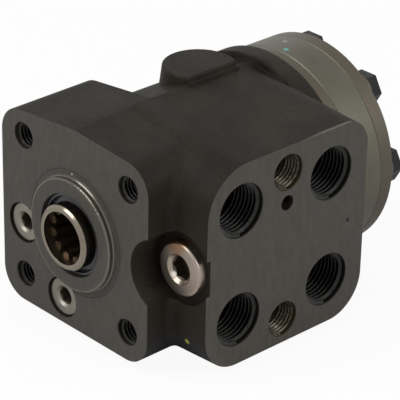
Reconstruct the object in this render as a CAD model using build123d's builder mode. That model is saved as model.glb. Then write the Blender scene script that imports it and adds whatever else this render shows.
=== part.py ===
"""Orbital steering unit: a rotary spool valve with a gerotor metering set behind it.

Lengths are millimetres. The origin is the centre of the column face on the spool axis.
+X points at the port face, +Y runs back along the spool axis and +Z is up.
A station is a cross-section square to the spool axis, named by its distance behind the column face.
"""
from build123d import *
import math
import os

# Column flange, the front block of the casting
flange_left = 42.0
flange_right = 40.0
flange_crown = 42.0
flange_left_top = 38.2
flange_right_top = 39.4
flange_bottom = 41.0
flange_corner = 11.5
flange_depth = 37.5
flange_rise = 1.3

# Port block, whose outer face carries the hydraulic ports
port_face = 57.7
block_front = 12.2
block_rear = 93.2
block_top = 40.8
block_bottom = 41.0
block_front_top_round = 19.0
block_rear_top_round = 12.5
block_rear_bottom_round = 16.0
block_front_bottom_round = 16.0
block_draft = 2.8
notch_fillet = 3.5

# Round body behind the flange, and the rim that the gear set bolts to
body_radius = 41.5
rim_radius = 45.2
rim_front = 89.0
housing_length = 98.0
rim_edge_round = 0.8

# D-shaped boss on top
boss_front = 54.7
boss_rear = 79.3
boss_side = 1.0
boss_bulge = 20.0
boss_bulge_station = 64.0
boss_top = 46.7
boss_foot = 30.0
boss_draft = 7.0
boss_edge_round = 0.9
boss_ledge_width = 1.5
boss_ledge_top = 44.9

# Pilot boss on the column face
pilot_radius = 22.3
pilot_foot_radius = 23.3
pilot_height = 2.8
pilot_edge = 0.6
pilot_foot_height = 1.0

# Threaded holes, bored at the major diameter
column_bolt_spacing = 58.37
column_bolt_radius = 5.0
column_bolt_depth = 18.0
column_bolt_mouth = 0.35
port_thread_radius = 10.48
port_mouth = 0.3
port_thread_depth = 15.0
port_drill_radius = 5.5
port_drill_end = 11.0
port_stations = (28.6, 74.2)
port_height = 22.3
side_port_station = 51.7
side_port_heights = (30.0, -30.9)
side_port_radius = 7.0
side_port_depth = 9.0
side_port_step_radius = 5.6
side_port_step_depth = 4.5
side_port_mouth = 0.3
locating_hole_height = 17.7
locating_hole_radius = 3.0
locating_hole_depth = 9.0
drill_point = 118.0
overcut = 1.0

# Main bore of the housing and what seals and carries the spool in it
nose_radius = 12.8
nose_reach = 6.3
nose_edge = 0.8
running_gap = 0.05
face_gap = 0.02
assembly_gap = 0.02
nose_hole_gap = 0.3
dust_seal_radius = 16.3
dust_seal_front = -1.4
dust_seal_seat = 2.2
seal_lip_gap = 0.07
dust_seal_wall = 2.6
dust_seal_edge = 0.4
dust_seal_groove = 1.1
shaft_seal_radius = 15.9
shaft_seal_front = 3.4
shaft_seal_rear = 7.0
shaft_seal_split = 14.1
bore_radius = 19.05
bearing_seat = 8.0
outer_race_thickness = 2.5
needle_radius = 1.0
needle_length = 3.4
needle_circle = 16.2
needle_count = 14
cage_thickness = 1.3
cage_margin = 0.25
needle_gap = 0.08
race_margin = 0.1
race_bore_gap = 0.4
inner_race_thickness = 1.0
groove_radius = 22.5
groove_width = 7.0
middle_grooves = (44.0, 58.0)

# Sleeve and spool
spool_radius = 14.4
spool_bore_radius = 10.6
spool_lead_radius = 10.4
spool_lead_depth = 4.2
spool_spline_end = 16.0
spool_end_gap = 0.3
sleeve_end_gap = 0.15
column_spline_minor = 8.75
column_spline_major = 10.4
column_spline_teeth = 12
spring_slot_front = 18.4
spring_slot_length = 5.6
spring_slot_width = 3.0
spring_leaf_thickness = 0.42
spring_leaf_count = 6
spring_ring_thickness = 0.75
spring_ring_margin = 1.2
spring_leaf_gap = 0.02
spring_leaf_bow = 0.14
pin_station = 31.0
pin_radius = 3.6
pin_end_gap = 0.5
valve_travel = 8.0
sleeve_port_radius = 1.5
sleeve_port_count = 4
commutator_hole_radius = 1.2
commutator_hole_count = 12
spool_slot_count = 6
spool_slot_depth = 1.0
spool_slot_width = 2.6
spool_slot_front = 46.0
spool_slot_rear = 84.0
spool_shoulder_gap = 0.2
pin_hole_gap = 0.02
pin_slot_gap = 0.1

# Gear set
set_radius = 43.5
plate_thickness = 5.6
ring_thickness = 14.4
cover_thickness = 7.0
cover_edge = 0.9
plate_edge = 0.25
lobe_count = 7
lobe_circle = 27.5
lobe_radius = 7.0
eccentricity = 2.5
pocket_gap = 0.2
mesh_gap = 0.12
rotor_side_gap = 0.03
rotor_points_per_lobe = 14
plate_hole_radius = 12.6
passage_radius = 1.9
passage_circle = 23.2
passage_station = 88.0

# Straight-sided splines: half widths of a tooth as shares of the pitch, and how deep it is rooted
spline_foot_share = 0.31
spline_tip_share = 0.19
spline_root_share = 0.9

# Cardan shaft, drawn along its own tilted axis from the cross pin
fork_radius = 9.6
fork_front = 6.5
fork_rear = 9.0
fork_slot_width = 8.0
fork_slot_rear = 5.2
shaft_radius = 6.4
head_minor = 8.1
head_major = 9.5
head_teeth = 12
head_length = 9.6
head_crown = 0.35
head_gap = 0.32
fork_edge = 1.5
fork_shoulder = 3.2
neck_radius = 7.6
neck_length = 6.0
spacer_thickness = 3.0
spacer_gap = 0.15
spacer_bore_gap = 0.4
spacer_hole = 2.5

# Cover screws
screw_circle = 35.0
screw_radius = 4.0
screw_clearance = 0.3
screw_end = 82.0
screw_hole_end = 78.0
screw_head_flats = 13.0
screw_head_height = 5.5
screw_head_chamfer = 0.5
washer_radius = 7.3
washer_thickness = 1.4
thread_gap = 0.04
pin_screw_index = 3

# Face seals between the plates
ring_groove_circle = 41.2
ring_groove_half_width = 0.75
ring_groove_depth = 1.1
ring_section_radius = 0.5
face_seal_depth = 1.0

# Check valve under the pin screw
rolled_pin_radius = 1.5
rolled_pin_front = 75.4
pin_screw_end = 88.0
rolled_pin_grip = 3.0
rolled_pin_bore = 0.8
check_seat_front = 62.0
check_seat_rear = 68.0
check_ball_radius = 3.2
check_orifice_radius = 2.0
check_drill_end = 50.0
ball_seat_gap = 0.05

# Suction valves in the rear face
suction_angles = (180.0, 231.43)
suction_bore_radius = 3.5
suction_seat = 74.0
suction_orifice_radius = 2.0
suction_drill_end = 62.0
suction_ball_radius = 3.0
suction_lift = 1.5
suction_pin_radius = 1.5

# Relief valve beside the flange, on its own axis
relief_x = 45.2
relief_counterbore_radius = 14.4
relief_seat_face = 14.0
relief_head_front = 10.2
relief_head_radius = 10.6
relief_head_edge = 1.1
relief_bore_radius = 7.0
relief_bore_end = 27.0
relief_guide_radius = 6.0
relief_guide_end = 57.0
relief_shank_end = 25.0
relief_ring_radius = 8.8
relief_ring_depth = 1.8
relief_screw_front = 28.0
relief_screw_length = 6.0
relief_spring_length = 11.0
relief_spring_radius = 3.6
relief_spring_wire = 1.1
relief_flange_radius = 4.9
relief_flange_thickness = 1.3
relief_cone_radius = 3.2
relief_cone_length = 4.6
relief_tip_radius = 1.2
relief_orifice_radius = 2.2
relief_drill_end = 63.0
relief_turns = 5

# Shock valves behind the column face: x and z of each axis
shock_axes = ((-30.2, -7.7), (-7.8, -30.4))
shock_recess_radius = 8.1
shock_recess_depth = 4.6
shock_head_front = 1.0
shock_head_radius = 7.9
shock_head_edge = 0.9
shock_washer_thickness = 1.0
shock_washer_inner_gap = 0.15
shock_washer_margin = 0.3
shock_bore_radius = 5.0
shock_bore_end = 17.0
shock_shank_end = 13.0
shock_guide_radius = 4.4
shock_guide_end = 41.0
shock_screw_front = 17.5
shock_screw_length = 5.0
shock_seat_front = 35.4
shock_ball_radius = 3.0
shock_orifice_radius = 2.1
shock_spring_radius = 2.5
shock_spring_wire = 0.9
shock_drill_end = 47.0
shock_turns = 5
valve_lift = 1.5
spring_end_gap = 0.05

# Hexagon sockets of the plugs and setting screws, across flats
plug_socket = 8.0
plug_socket_depth = 6.0
plug_socket_mouth = 6.0
shock_plug_socket = 6.0
shock_plug_mouth = 4.4
setting_socket = 3.0
setting_screw_edge = 0.4

# Stations worked out from the stack
crest = block_top + port_face * math.tan(math.radians(block_draft))
plate_rear = housing_length + plate_thickness
ring_rear = plate_rear + ring_thickness
cover_rear = ring_rear + cover_thickness
outer_race_rear = bearing_seat + face_gap + outer_race_thickness
cage_station = outer_race_rear + face_gap + needle_radius
inner_race_front = cage_station + needle_radius + face_gap
inner_race_rear = inner_race_front + inner_race_thickness
sleeve_front = inner_race_rear + face_gap
sleeve_radius = bore_radius - running_gap
sleeve_bore = spool_radius + running_gap
spring_ring_inner = sleeve_radius - spring_ring_thickness
spring_slot_rear = spring_slot_front + spring_slot_length
lobe_pitch = 360 / lobe_count
passage_angles = [lobe_pitch * (index + 0.5) for index in range(lobe_count)]
screw_angles = [lobe_pitch * index for index in range(lobe_count)]
cover_screw_angles = [a for i, a in enumerate(screw_angles) if i != pin_screw_index]
pin_screw_angle = screw_angles[pin_screw_index]
rotor_tip = lobe_circle - lobe_radius + eccentricity
pocket_radius = rotor_tip + eccentricity + pocket_gap
rotor_station = plate_rear + ring_thickness / 2
cardan_tilt = math.degrees(math.atan(eccentricity / (rotor_station - pin_station)))
spacer_front = ring_rear - spacer_gap - spacer_thickness
head_rear = spacer_front - spacer_gap
drill_half_angle = math.radians(drill_point / 2)
keel = block_bottom + port_face * math.tan(math.radians(block_draft))
ring_grooves = (port_stations[0], *middle_grooves, port_stations[1])
spool_front = sleeve_front + spool_shoulder_gap
spool_rear = housing_length - spool_end_gap
sleeve_rear = housing_length - sleeve_end_gap
nose_hole_radius = nose_radius + nose_hole_gap
pin_half_length = sleeve_radius - pin_end_gap
rotor_front = plate_rear + rotor_side_gap
rotor_rear = ring_rear - rotor_side_gap
screw_clearance_radius = screw_radius + screw_clearance
thread_fill = screw_radius - thread_gap
washer_rear = cover_rear + washer_thickness
race_radius = sleeve_radius - race_margin
race_bore = nose_radius + race_bore_gap
needle_start = needle_circle - needle_length / 2
spring_ring_front = spring_slot_front - spring_ring_margin
spring_ring_rear = spring_slot_rear + spring_ring_margin
pin_slot_half_width = pin_radius + spool_radius * math.sin(math.radians(valve_travel)) + pin_slot_gap
spacer_radius = head_minor + head_gap - spacer_bore_gap
pilot_foot_taper = math.degrees(math.atan((pilot_foot_radius - pilot_radius) / pilot_foot_height))
passage_start = bore_radius - overcut
spool_bore_steps = (
    (dust_seal_radius + assembly_gap, -pilot_height, dust_seal_seat),
    (nose_hole_radius, dust_seal_seat, shaft_seal_front),
    (shaft_seal_radius + assembly_gap, shaft_seal_front, shaft_seal_rear),
    (nose_hole_radius, shaft_seal_rear, bearing_seat),
    (bore_radius, bearing_seat, housing_length),
    *[(groove_radius, y - groove_width / 2, y + groove_width / 2) for y in ring_grooves],
)


def station(y):
    """Section plane at a distance y behind the column face, drawn as seen from the front."""
    return Plane.XZ.offset(-y)


def at(angle, radius=screw_circle):
    """Point on a circle round the spool axis, from +X towards +Z."""
    return radius * math.cos(math.radians(angle)), radius * math.sin(math.radians(angle))


def rest_height(ball_radius, orifice_radius):
    """How far a ball's centre stands off the rim of the hole that it seats on."""
    return math.sqrt(ball_radius**2 - orifice_radius**2) + ball_seat_gap


def outer_edges(piece):
    """Front and rear outer edges of a disc of the gear set."""
    return piece.edges().filter_by(lambda edge: edge.length > 2 * math.pi * (set_radius - 1)).sort_by(Axis.Y)


def seal_groove():
    """Section of the groove for a face seal of the gear set."""
    with BuildSketch() as groove:
        Circle(ring_groove_circle + ring_groove_half_width)
        Circle(ring_groove_circle - ring_groove_half_width, mode=Mode.SUBTRACT)
    return groove.sketch


def save(piece, name):
    """Label a finished piece and write it as its own STEP file."""
    piece.part.label = name
    export_step(piece.part, f"parts/{name}.step")


def splined(minor_radius, major_radius, teeth, gap=0.0):
    """Section of a straight-sided spline, grown by a gap: a core circle with teeth that narrow outwards."""
    pitch = math.pi * (minor_radius + major_radius) / teeth
    foot = pitch * spline_foot_share + gap
    tip = pitch * spline_tip_share + gap
    inside = minor_radius * spline_root_share
    outside = major_radius + gap
    with BuildSketch() as section:
        Circle(minor_radius + gap)
        with PolarLocations(0, teeth):
            Polygon((inside, -foot), (outside, -tip), (outside, tip), (inside, foot), align=None)
    return section.sketch


def drilling(*steps, mouth=0.0, pointed=False):
    """Shape of a drilled hole, down +Y from its mouth: each step is a radius and the depth it reaches."""
    widest = steps[0][0] + mouth
    outline = [(0, -overcut), (widest, -overcut)]
    if mouth:
        outline += [(widest, 0), (steps[0][0], mouth)]
    for index, (radius, depth) in enumerate(steps):
        if index:
            outline.append((radius, steps[index - 1][1]))
        outline.append((radius, depth))
    tip = radius / math.tan(drill_half_angle) if pointed else 0
    outline.append((0, depth + tip))
    with BuildPart() as hole:
        with BuildSketch():
            Polygon(*outline, align=None)
        revolve(axis=Axis.Y)
    return hole.part


def turned(profile, centre=(0, 0)):
    """Piece turned on an axis along the spool: each point of its profile is a radius and a station."""
    x, z = centre
    with BuildPart() as piece:
        with BuildSketch(Plane.XY.offset(z)):
            Polygon(*[(x + radius, y) for radius, y in profile], align=None)
        revolve(axis=Axis((x, 0, z), (0, 1, 0)))
    return piece


def ring(inner, outer, front, rear, centre=(0, 0)):
    """Plain ring between two stations."""
    with BuildPart() as piece:
        with BuildSketch(station(front)):
            with Locations(centre):
                Circle(outer)
                Circle(inner, mode=Mode.SUBTRACT)
        extrude(amount=front - rear)
    return piece


def setting_screw(radius, front, length, centre):
    """Hollow screw with a hexagon socket right through."""
    with BuildPart() as piece:
        with BuildSketch(station(front)):
            with Locations(centre):
                Circle(radius)
                RegularPolygon(setting_socket / 2, 6, major_radius=False, mode=Mode.SUBTRACT)
        extrude(amount=-length)
        ends = piece.edges().filter_by(GeomType.CIRCLE).group_by(Axis.Y)
        chamfer(ends[0] + ends[-1], length=setting_screw_edge)
    return piece


def ball(radius, centre):
    """Valve ball at a point."""
    with BuildPart() as piece:
        with Locations(centre):
            Sphere(radius)
    return piece


def coil(front, length, radius, wire, turns, centre):
    """Compression spring of square wire, wound on an axis parallel to the spool."""
    x, z = centre
    with BuildPart() as piece:
        with BuildLine() as path:
            Helix((length - wire) / turns, length - wire, radius, (x, front + wire / 2, z), (0, 1, 0))
        with BuildSketch(Plane(path.line @ 0, z_dir=path.line % 0)):
            Rectangle(wire, wire)
        sweep(is_frenet=True)
    return piece


def socket_plug(front, head_radius, seat, shank_radius, end, socket, mouth, depth, edge, centre):
    """Headed plug with a countersunk hexagon socket."""
    with BuildPart() as piece:
        with BuildSketch(station(front)):
            with Locations(centre):
                Circle(head_radius)
        extrude(amount=front - seat)
        fillet(piece.edges().filter_by(GeomType.CIRCLE).group_by(Axis.Y)[0], radius=edge)
        with BuildSketch(station(seat)):
            with Locations(centre):
                Circle(shank_radius)
        extrude(amount=seat - end)
        with BuildSketch(station(front)):
            with Locations(centre):
                RegularPolygon(socket / 2, 6, major_radius=False)
        extrude(amount=-depth, mode=Mode.SUBTRACT)
        with BuildSketch(station(front)):
            with Locations(centre):
                Circle(mouth)
        extrude(amount=socket / 2 - mouth, taper=45, mode=Mode.SUBTRACT)
    return piece


os.makedirs("parts", exist_ok=True)

# Housing casting: the flange, drafted in the direction of the spool, and the port block, drafted towards it
flange_sections = (
    (0, flange_crown, flange_left_top, flange_right_top),
    (flange_depth, flange_crown + flange_rise, flange_left_top, flange_right_top + flange_rise),
)
with BuildPart() as housing:
    for y, crown, left_top, right_top in flange_sections:
        with BuildSketch(station(y)):
            with BuildLine():
                FilletPolyline(
                    (-flange_left, -flange_bottom),
                    (flange_right, -flange_bottom),
                    (flange_right, right_top),
                    (0, crown),
                    (-flange_left, left_top),
                    radius=(flange_corner, flange_corner, flange_corner, 0, flange_corner),
                    close=True,
                )
            make_face()
    loft(ruled=True)
    with BuildSketch(Plane.YZ.offset(port_face)):
        with BuildLine():
            FilletPolyline(
                (block_front, -block_bottom),
                (block_rear, -block_bottom),
                (block_rear, block_top),
                (block_front, block_top),
                radius=(
                    block_front_bottom_round,
                    block_rear_bottom_round,
                    block_rear_top_round,
                    block_front_top_round,
                ),
                close=True,
            )
        make_face()
    extrude(amount=-port_face, taper=-block_draft)
    notch = housing.edges().filter_by(
        lambda edge: abs(edge.center().X - flange_right) < 0.1 and abs((edge % 0.5).Z) > 0.5 and edge.center().Y > 1
    )
    fillet(notch, radius=notch_fillet)

    # Round body, its ridges at top and bottom, and the rim that the gear set is bolted to
    with BuildSketch(station(flange_depth)):
        Circle(body_radius)
        for ridge in (crest, -keel):
            tangent = math.acos(body_radius / abs(ridge))
            touch_x = body_radius * math.sin(tangent)
            touch_z = math.copysign(body_radius * math.cos(tangent), ridge)
            Polygon((0, ridge), (-touch_x, touch_z), (touch_x, touch_z), align=None)
    extrude(amount=flange_depth - rim_front)
    with BuildSketch(station(rim_front)):
        Circle(rim_radius)
    extrude(amount=rim_front - housing_length)
    fillet(housing.edges().filter_by(GeomType.CIRCLE).group_by(Axis.Y)[-1], radius=rim_edge_round)

    # Boss on top, shaped like a D, with a lower ledge along its straight side
    with BuildSketch(Plane.XY.offset(boss_top)):
        with BuildLine():
            ThreePointArc((boss_side, boss_front), (-boss_bulge, boss_bulge_station), (boss_side, boss_rear))
            Line((boss_side, boss_rear), (boss_side, boss_front))
        make_face()
    extrude(amount=boss_foot - boss_top, taper=-boss_draft)
    fillet(housing.edges().filter_by_position(Axis.Z, boss_top, boss_top), radius=boss_edge_round)
    with BuildSketch(Plane.XY.offset(boss_ledge_top)):
        with Locations((boss_side, (boss_front + boss_rear) / 2)):
            Rectangle(boss_ledge_width * 2, boss_rear - boss_front)
    extrude(amount=boss_foot - boss_ledge_top, taper=-boss_draft)

    # Pilot boss
    with BuildSketch(station(0)):
        Circle(pilot_foot_radius)
    extrude(amount=pilot_foot_height, taper=pilot_foot_taper)
    with BuildSketch(station(0)):
        Circle(pilot_radius)
    extrude(amount=pilot_height)
    fillet(housing.edges().filter_by(GeomType.CIRCLE).group_by(Axis.Y)[0], radius=pilot_edge)

    # Main bore and its ring grooves
    for radius, front, rear in spool_bore_steps:
        with BuildSketch(station(front)):
            Circle(radius)
        extrude(amount=front - rear, mode=Mode.SUBTRACT)

    # Column bolts, ports, side ports and locating hole
    column_bolt = drilling((column_bolt_radius, column_bolt_depth), mouth=column_bolt_mouth, pointed=True)
    with Locations(station(0)):
        with GridLocations(column_bolt_spacing, column_bolt_spacing, 2, 2):
            add(column_bolt, rotation=(-90, 0, 0), mode=Mode.SUBTRACT)
    port = drilling(
        (port_thread_radius, port_thread_depth),
        (port_drill_radius, port_face - port_drill_end),
        mouth=port_mouth,
    )
    side_port = drilling(
        (side_port_radius, side_port_depth),
        (side_port_step_radius, side_port_depth + side_port_step_depth),
        mouth=side_port_mouth,
        pointed=True,
    )
    locating_hole = drilling((locating_hole_radius, locating_hole_depth), pointed=True)
    for tool, places in (
        (port, [(y, z) for y in port_stations for z in (port_height, -port_height)]),
        (side_port, [(side_port_station, z) for z in side_port_heights]),
        (locating_hole, [(side_port_station, locating_hole_height)]),
    ):
        for y, z in places:
            with Locations(Location((port_face, y, z), (0, 0, 90))):
                add(tool, mode=Mode.SUBTRACT)

    # Relief valve: the round clearing beside the flange, then its stepped bore
    with BuildSketch(station(-overcut)):
        with Locations((relief_x, 0)):
            Circle(relief_counterbore_radius)
    extrude(amount=-(relief_seat_face + overcut), mode=Mode.SUBTRACT)
    relief_bore = drilling(
        (relief_ring_radius, relief_ring_depth),
        (relief_bore_radius, relief_bore_end - relief_seat_face),
        (relief_guide_radius, relief_guide_end - relief_seat_face),
        (relief_orifice_radius, relief_drill_end - relief_seat_face),
        pointed=True,
    )
    with Locations((relief_x, relief_seat_face, 0)):
        add(relief_bore, mode=Mode.SUBTRACT)

    # Shock valves
    shock_bore = drilling(
        (shock_recess_radius, shock_recess_depth),
        (shock_bore_radius, shock_bore_end),
        (shock_guide_radius, shock_guide_end),
        (shock_orifice_radius, shock_drill_end),
        pointed=True,
    )
    with Locations(*[(x, 0, z) for x, z in shock_axes]):
        add(shock_bore, mode=Mode.SUBTRACT)

    # Rear face: cover screw holes, check valve bore, suction valve bores, passages and the face seal's groove
    screw_hole = drilling((screw_radius, housing_length - screw_hole_end))
    check_bore = drilling(
        (screw_radius, housing_length - check_seat_front),
        (check_orifice_radius, housing_length - check_drill_end),
    )
    suction_bore = drilling(
        (suction_bore_radius, housing_length - suction_seat),
        (suction_orifice_radius, housing_length - suction_drill_end),
    )
    passage = drilling((passage_radius, housing_length - passage_station))
    for tool, angles, radius in (
        (screw_hole, cover_screw_angles, screw_circle),
        (check_bore, [pin_screw_angle], screw_circle),
        (suction_bore, suction_angles, screw_circle),
        (passage, passage_angles, passage_circle),
    ):
        for angle in angles:
            x, z = at(angle, radius)
            with Locations(Location((x, housing_length, z), (0, 0, 180))):
                add(tool, mode=Mode.SUBTRACT)
    for angle in passage_angles:
        radial = Plane((0, passage_station, 0), x_dir=(0, 1, 0), z_dir=(*at(angle, 1)[:1], 0, at(angle, 1)[1]))
        with BuildSketch(radial.offset(passage_start)):
            Circle(passage_radius)
        extrude(amount=passage_circle - passage_start, mode=Mode.SUBTRACT)
    with BuildSketch(station(housing_length)):
        add(seal_groove())
    extrude(amount=ring_groove_depth, mode=Mode.SUBTRACT)

save(housing, "housing")

# Dust seal in the pilot boss, with a lip on the spool's nose
lip_radius = nose_radius + seal_lip_gap
dust_seal = turned(
    (
        (dust_seal_radius, dust_seal_seat - face_gap),
        (dust_seal_radius, dust_seal_front + dust_seal_edge),
        (dust_seal_radius - dust_seal_edge, dust_seal_front),
        (dust_seal_radius - dust_seal_wall / 2, dust_seal_front),
        (dust_seal_radius - dust_seal_wall / 2, dust_seal_front + dust_seal_groove),
        (lip_radius, dust_seal_front + dust_seal_edge),
        (lip_radius, dust_seal_front + dust_seal_groove),
        (dust_seal_radius - dust_seal_wall, dust_seal_seat - face_gap),
    )
)
save(dust_seal, "dust_seal")

# Shaft seal and the O-ring that backs it
shaft_seal = turned(
    (
        (lip_radius, shaft_seal_front + face_gap),
        (shaft_seal_split, shaft_seal_front + face_gap),
        (shaft_seal_split, shaft_seal_rear - face_gap),
        (lip_radius, shaft_seal_rear - dust_seal_edge),
    )
)
save(shaft_seal, "shaft_seal")
seal_o_ring = ring(
    shaft_seal_split + assembly_gap,
    shaft_seal_radius,
    shaft_seal_front + face_gap,
    shaft_seal_rear - face_gap,
)
save(seal_o_ring, "seal_o_ring")

# Thrust bearing between the housing and the sleeve
outer_race = ring(
    race_bore,
    race_radius,
    bearing_seat + face_gap,
    outer_race_rear,
)
save(outer_race, "bearing_outer_race")
with BuildPart() as bearing_needles:
    for index in range(needle_count):
        x, z = at(360 * index / needle_count, 1)
        with BuildSketch(Plane((0, cage_station, 0), x_dir=(0, 1, 0), z_dir=(x, 0, z)).offset(needle_start)):
            Circle(needle_radius)
        extrude(amount=needle_length)
save(bearing_needles, "bearing_needles")

with BuildPart() as bearing_cage:
    with BuildSketch(station(cage_station - cage_thickness / 2)):
        Circle(race_radius - cage_margin)
        Circle(race_bore + cage_margin, mode=Mode.SUBTRACT)
        with PolarLocations(needle_circle, needle_count):
            Rectangle(needle_length + 2 * needle_gap, 2 * (needle_radius + needle_gap), mode=Mode.SUBTRACT)
    extrude(amount=-cage_thickness)
save(bearing_cage, "bearing_cage")

inner_race = ring(race_bore, race_radius, inner_race_front, inner_race_rear)
save(inner_race, "bearing_inner_race")

# Valve sleeve: slots for the springs, holes for the cross pin, and the rows of oil holes
with BuildPart() as valve_sleeve:
    with BuildSketch(station(sleeve_front)):
        Circle(sleeve_radius)
        Circle(sleeve_bore, mode=Mode.SUBTRACT)
    extrude(amount=sleeve_front - sleeve_rear)
    with BuildSketch(station(spring_ring_front)):
        Circle(bore_radius)
        Circle(spring_ring_inner, mode=Mode.SUBTRACT)
    extrude(amount=spring_ring_front - spring_ring_rear, mode=Mode.SUBTRACT)
    with BuildSketch(station(spring_slot_front)):
        Rectangle(2 * bore_radius, spring_slot_width)
    extrude(amount=-spring_slot_length, mode=Mode.SUBTRACT)
    with BuildSketch(Plane.YZ):
        with Locations((pin_station, 0)):
            Circle(pin_radius + pin_hole_gap)
    extrude(amount=bore_radius, both=True, mode=Mode.SUBTRACT)
    for y in ring_grooves:
        for index in range(sleeve_port_count):
            x, z = at(360 * (index + 0.5) / sleeve_port_count, 1)
            with BuildSketch(Plane((0, y, 0), x_dir=(0, 1, 0), z_dir=(x, 0, z))):
                Circle(sleeve_port_radius)
            extrude(amount=bore_radius, mode=Mode.SUBTRACT)
    for index in range(commutator_hole_count):
        x, z = at(360 * index / commutator_hole_count, 1)
        with BuildSketch(Plane((0, passage_station, 0), x_dir=(0, 1, 0), z_dir=(x, 0, z))):
            Circle(commutator_hole_radius)
        extrude(amount=bore_radius, mode=Mode.SUBTRACT)
save(valve_sleeve, "valve_sleeve")

# Ring that keeps the springs in the sleeve
spring_ring = ring(
    spring_ring_inner + assembly_gap,
    sleeve_radius,
    spring_ring_front + face_gap,
    spring_ring_rear - face_gap,
)
save(spring_ring, "spring_retaining_ring")

# Centring springs: two packs of bowed leaves, back to back across the slots
leaf_half_length = spring_ring_inner - spring_end_gap
with BuildPart() as centring_springs:
    for side in (1, -1):
        for index in range(spring_leaf_count // 2):
            low = side * (spring_leaf_gap + index * (spring_leaf_thickness + spring_leaf_gap))
            high = low + side * spring_leaf_thickness
            bow = side * spring_leaf_bow
            with BuildSketch(station(spring_slot_front + spring_end_gap)):
                with BuildLine():
                    ThreePointArc((-leaf_half_length, low + bow), (0, low), (leaf_half_length, low + bow))
                    Line((leaf_half_length, low + bow), (leaf_half_length, high + bow))
                    ThreePointArc((leaf_half_length, high + bow), (0, high), (-leaf_half_length, high + bow))
                    Line((-leaf_half_length, high + bow), (-leaf_half_length, low + bow))
                make_face()
            extrude(amount=2 * spring_end_gap - spring_slot_length)
save(centring_springs, "centring_springs")

# Cross pin, through the sleeve, the spool's slots and the fork of the cardan shaft
with BuildPart() as cross_pin:
    with BuildSketch(Plane.YZ):
        with Locations((pin_station, 0)):
            Circle(pin_radius)
    extrude(amount=pin_half_length, both=True)
    chamfer(cross_pin.edges().filter_by(GeomType.CIRCLE), length=setting_screw_edge)
save(cross_pin, "cross_pin")

# Valve spool, with the splined socket for the steering column in its nose
with BuildPart() as valve_spool:
    with BuildSketch(station(-nose_reach)):
        Circle(nose_radius)
    extrude(amount=-(nose_reach + spool_front))
    chamfer(valve_spool.edges().group_by(Axis.Y)[0], length=nose_edge)
    with BuildSketch(station(spool_front)):
        Circle(spool_radius)
    extrude(amount=spool_front - spool_rear)
    with BuildSketch(station(-nose_reach)):
        Circle(spool_lead_radius)
    extrude(amount=-spool_lead_depth, mode=Mode.SUBTRACT)
    with BuildSketch(station(spool_lead_depth - nose_reach)):
        add(splined(column_spline_minor, column_spline_major, column_spline_teeth))
    extrude(amount=spool_lead_depth - nose_reach - spool_spline_end, mode=Mode.SUBTRACT)
    with BuildSketch(station(spool_spline_end)):
        Circle(spool_bore_radius)
    extrude(amount=spool_spline_end - spool_rear, mode=Mode.SUBTRACT)
    with BuildSketch(Plane.YZ):
        with Locations((pin_station, 0)):
            SlotOverall(2 * pin_slot_half_width, 2 * (pin_radius + pin_slot_gap), rotation=90)
    extrude(amount=bore_radius, both=True, mode=Mode.SUBTRACT)
    with BuildSketch(station(spring_slot_front)):
        Rectangle(2 * bore_radius, spring_slot_width)
    extrude(amount=-spring_slot_length, mode=Mode.SUBTRACT)
    with BuildSketch(station(spool_slot_front)):
        with PolarLocations(spool_radius, spool_slot_count):
            Rectangle(2 * spool_slot_depth, spool_slot_width)
    extrude(amount=spool_slot_front - spool_slot_rear, mode=Mode.SUBTRACT)
save(valve_spool, "valve_spool")

# Cardan shaft: crowned splined head, neck and shaft, then the fork that straddles the cross pin
tilt = math.radians(cardan_tilt)
across = (math.cos(tilt), -math.sin(tilt), 0)
along = (math.sin(tilt), math.cos(tilt), 0)
head_end = (head_rear - pin_station) / math.cos(tilt) - head_major * math.sin(tilt)
head_start = head_end - head_length
cardan_profile = Plane((0, pin_station, 0), x_dir=across, z_dir=(0, 0, 1))
cardan_axis = Axis((0, pin_station, 0), along)
with BuildPart() as cardan_shaft:
    with BuildSketch(Plane((0, pin_station, 0), x_dir=across, z_dir=along).offset(head_start)):
        add(splined(head_minor, head_major, head_teeth))
    extrude(amount=head_length)
    with BuildSketch(cardan_profile):
        with BuildLine():
            Polyline(
                (head_major - head_crown, head_start),
                (0, head_start),
                (0, head_end),
                (head_major - head_crown, head_end),
            )
            ThreePointArc(
                (head_major - head_crown, head_end),
                (head_major, (head_start + head_end) / 2),
                (head_major - head_crown, head_start),
            )
        make_face()
    revolve(axis=cardan_axis, mode=Mode.INTERSECT)
    with BuildSketch(cardan_profile):
        Polygon(
            (0, -fork_front),
            (fork_radius - fork_edge, -fork_front),
            (fork_radius, fork_edge - fork_front),
            (fork_radius, fork_rear),
            (shaft_radius, fork_rear + fork_shoulder),
            (shaft_radius, head_start - neck_length),
            (neck_radius, head_start - neck_length / 2),
            (neck_radius, head_start),
            (0, head_start),
            align=None,
        )
    revolve(axis=cardan_axis)
    with BuildSketch(Plane((0, pin_station, 0), x_dir=across, z_dir=along).offset(-fork_front)):
        Rectangle(2 * fork_radius, fork_slot_width)
    extrude(amount=fork_front + fork_slot_rear, mode=Mode.SUBTRACT)
save(cardan_shaft, "cardan_shaft")

# Distributor plate, with one oil passage between each pair of screws
with BuildPart() as distributor_plate:
    with BuildSketch(station(housing_length)):
        Circle(set_radius)
        Circle(plate_hole_radius, mode=Mode.SUBTRACT)
        with PolarLocations(screw_circle, lobe_count):
            Circle(screw_clearance_radius, mode=Mode.SUBTRACT)
        with PolarLocations(passage_circle, lobe_count, start_angle=lobe_pitch / 2):
            Circle(passage_radius, mode=Mode.SUBTRACT)
    extrude(amount=-plate_thickness)
    chamfer(outer_edges(distributor_plate), length=plate_edge)
    with BuildSketch(station(plate_rear)):
        add(seal_groove())
    extrude(amount=ring_groove_depth, mode=Mode.SUBTRACT)
save(distributor_plate, "distributor_plate")

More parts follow.
